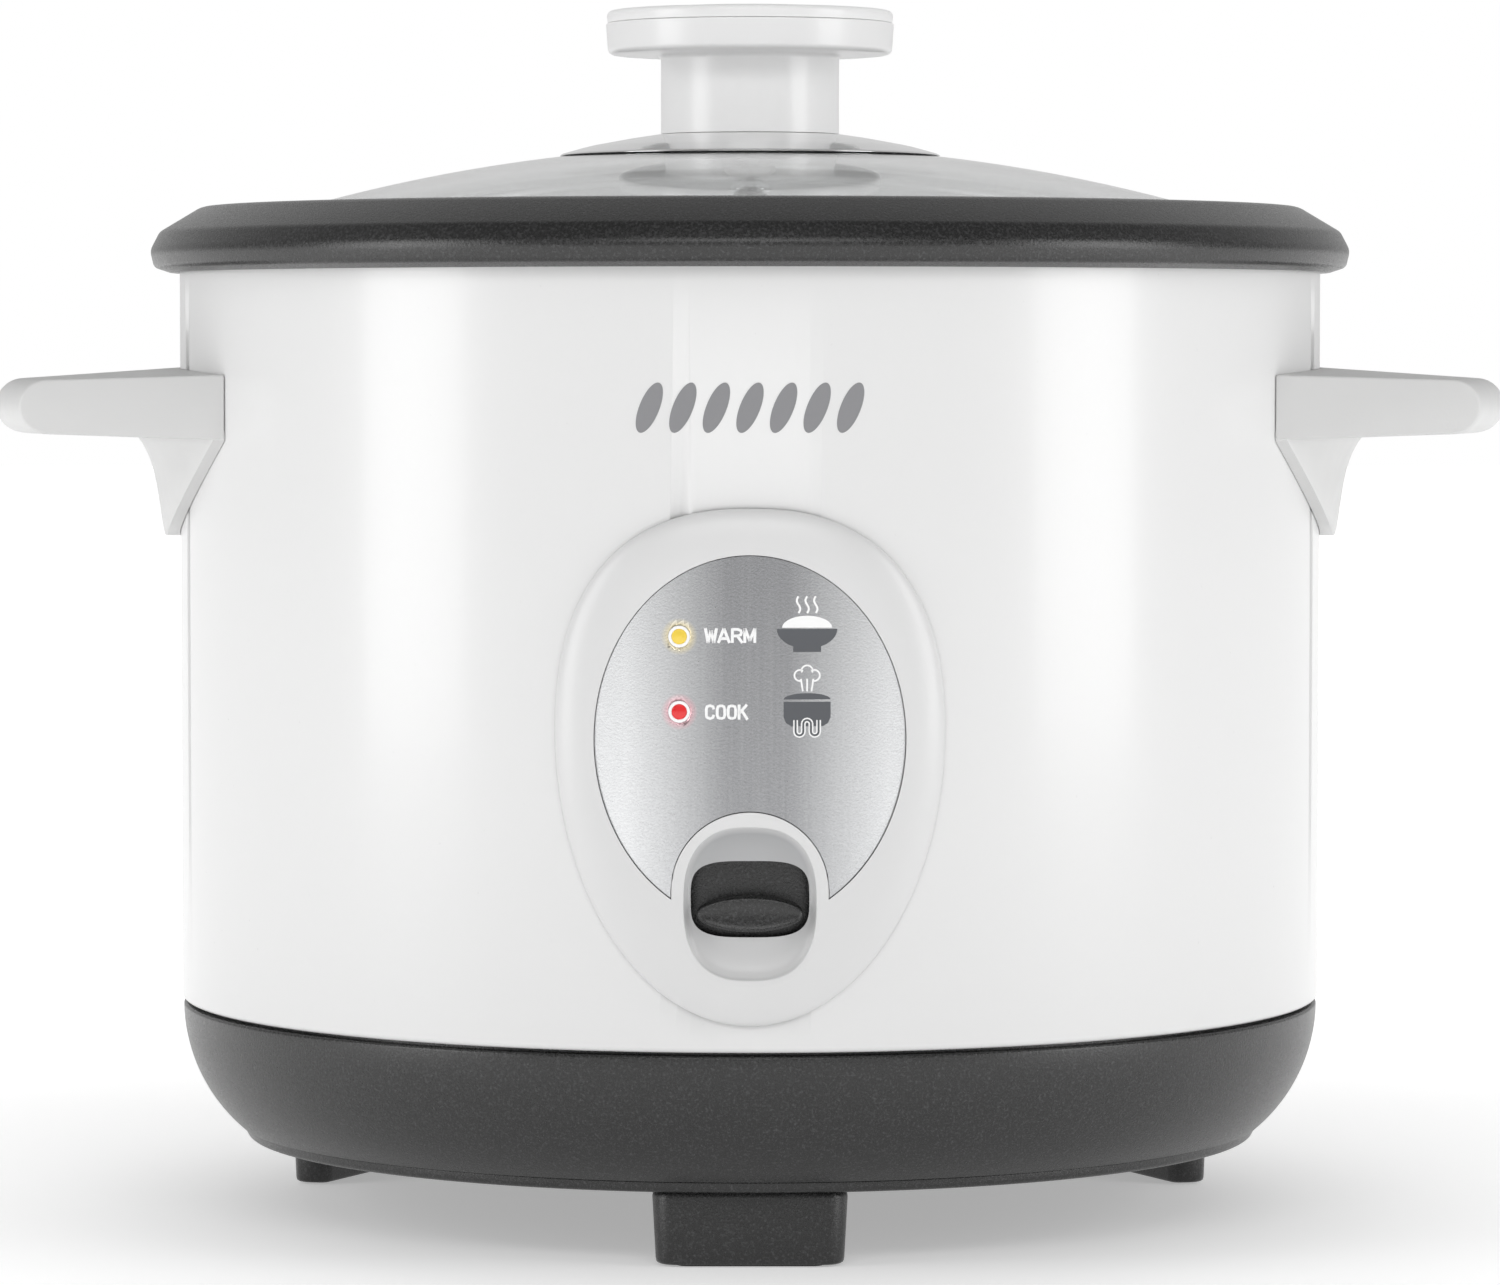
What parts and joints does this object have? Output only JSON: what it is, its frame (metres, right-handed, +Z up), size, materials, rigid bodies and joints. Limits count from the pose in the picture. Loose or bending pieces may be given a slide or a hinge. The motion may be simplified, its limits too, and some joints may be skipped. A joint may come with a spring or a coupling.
{
  "type": "rice cooker",
  "caption": "Round countertop rice cooker with a lift-out pot, domed glass lid with knob, side handles and one front cook and keep-warm lever.",
  "frame": {"origin": "on the worktop under the pot's vertical axis", "axes": "+Z up, -Y towards the user (panel and lever side), +X towards the right-hand handle"},
  "size_m": [0.342, 0.2726, 0.273],
  "materials": {
    "body_white_gloss": "glossy white enamel, faint orange peel",
    "knob_white_gloss": "glossy moulded plastic",
    "bezel_white": "soft gloss moulded plastic",
    "panel_silver": "fine vertical brushing with a clear satin coat",
    "handle_grey": "fine matte moulded plastic",
    "charcoal_plastic": "satin moulded plastic with a fine speckled grain",
    "foot_rubber": "matte rubber",
    "bare_aluminium": "pressed and cast, satin",
    "pot_aluminium": "spun aluminium, brushed in rings",
    "lid_glass": "clear tempered glass, polished",
    "stainless_trim": "polished stainless pressing",
    "plated_steel": "zinc plated, satin",
    "spring_steel": "drawn wire and oxidised sheath",
    "ferrite_black": "sintered, matte",
    "black_plastic": "matte moulded plastic",
    "lens_amber": "translucent moulded lens",
    "lens_red": "translucent moulded lens",
    "board_green": "solder resist",
    "mica_band": "layered mica sheet",
    "white_nylon": "moulded nylon and glass fibre sleeve",
    "brown_insulation": "silicone wire insulation",
    "pin_brass": "machined brass"
  },
  "bodies": {
    "root": {"outer_shell": "body_white_gloss", "panel_bezel": "bezel_white", "panel_fascia": "panel_silver", "handle_left": "handle_grey", "handle_right": "handle_grey", "top_ring": "charcoal_plastic", "base_tub": "charcoal_plastic", "bottom_cover": "charcoal_plastic", "foot_front": "charcoal_plastic", "foot_rear_right": "charcoal_plastic", "foot_rear_left": "charcoal_plastic", "foot_pad_front": "foot_rubber", "foot_pad_rear_right": "foot_rubber", "foot_pad_rear_left": "foot_rubber", "inner_shell": "bare_aluminium", "heating_plate": "bare_aluminium", "lever_bracket": "plated_steel", "lever_pin": "plated_steel", "tie_post_right": "plated_steel", "tie_post_rear": "plated_steel", "tie_post_left": "plated_steel", "base_screw_right": "plated_steel", "base_screw_rear": "plated_steel", "base_screw_left": "plated_steel", "handle_screw_left_front": "plated_steel", "handle_screw_left_rear": "plated_steel", "handle_screw_right_front": "plated_steel", "handle_screw_right_rear": "plated_steel", "heating_element": "spring_steel", "switch_body": "black_plastic", "inlet_housing": "black_plastic", "lamp_lens_warm": "lens_amber", "lamp_lens_cook": "lens_red", "lamp_board": "board_green", "warm_heater": "mica_band", "thermal_fuse": "white_nylon", "lead_neutral": "white_nylon", "lead_live": "brown_insulation", "lead_element": "brown_insulation", "inlet_pin_live": "pin_brass", "inlet_pin_neutral": "pin_brass", "inlet_pin_earth": "pin_brass"},
    "pot": {"inner_pot": "pot_aluminium"},
    "lid": {"lid_glass": "lid_glass", "lid_rim": "stainless_trim", "steam_vent": "stainless_trim", "knob_collar": "stainless_trim", "knob_body": "knob_white_gloss", "knob_cap": "knob_white_gloss", "knob_screw": "plated_steel"},
    "lever": {"lever_arm": "plated_steel", "lever_paddle": "charcoal_plastic"},
    "magnet": {"magnet_plunger": "ferrite_black", "magnet_spring": "spring_steel"},
    "sensor": {"sensor_can": "bare_aluminium", "sensor_ferrite": "ferrite_black", "sensor_spring": "spring_steel"},
    "plunger": {"switch_plunger": "white_nylon"}
  },
  "joints": [
    {"name": "pot_lift", "type": "slide", "parent": "root", "child": "pot", "axis": [0, 0, 1], "range_m": [0, 0.16]},
    {"name": "lid_lift", "type": "slide", "parent": "pot", "child": "lid", "axis": [0, 0, 1], "range_m": [0, 0.12]},
    {"name": "cook_lever", "type": "hinge", "parent": "root", "child": "lever", "pos_m": [0, -0.05, 0.0445], "axis": [-1, 0, 0], "range_deg": [0, 4.5]},
    {"name": "magnet_drop", "type": "slide", "parent": "root", "child": "magnet", "axis": [0, 0, -1], "range_m": [0, 0.004], "deforming": ["magnet_spring"]},
    {"name": "switch_press", "type": "slide", "parent": "root", "child": "plunger", "axis": [0, 0, 1], "range_m": [0, 0.0016]},
    {"name": "sensor_rise", "type": "slide", "parent": "root", "child": "sensor", "axis": [0, 0, 1], "range_m": [0, 0.003], "deforming": ["sensor_spring"]}
  ],
  "couplings": [
    {"joint": "magnet_drop", "follows": "cook_lever", "m_per_rad": 0.047},
    {"joint": "switch_press", "follows": "cook_lever", "m_per_rad": 0.019},
    {"joint": "sensor_rise", "follows": "pot_lift", "ratio": 0.018}
  ]
}
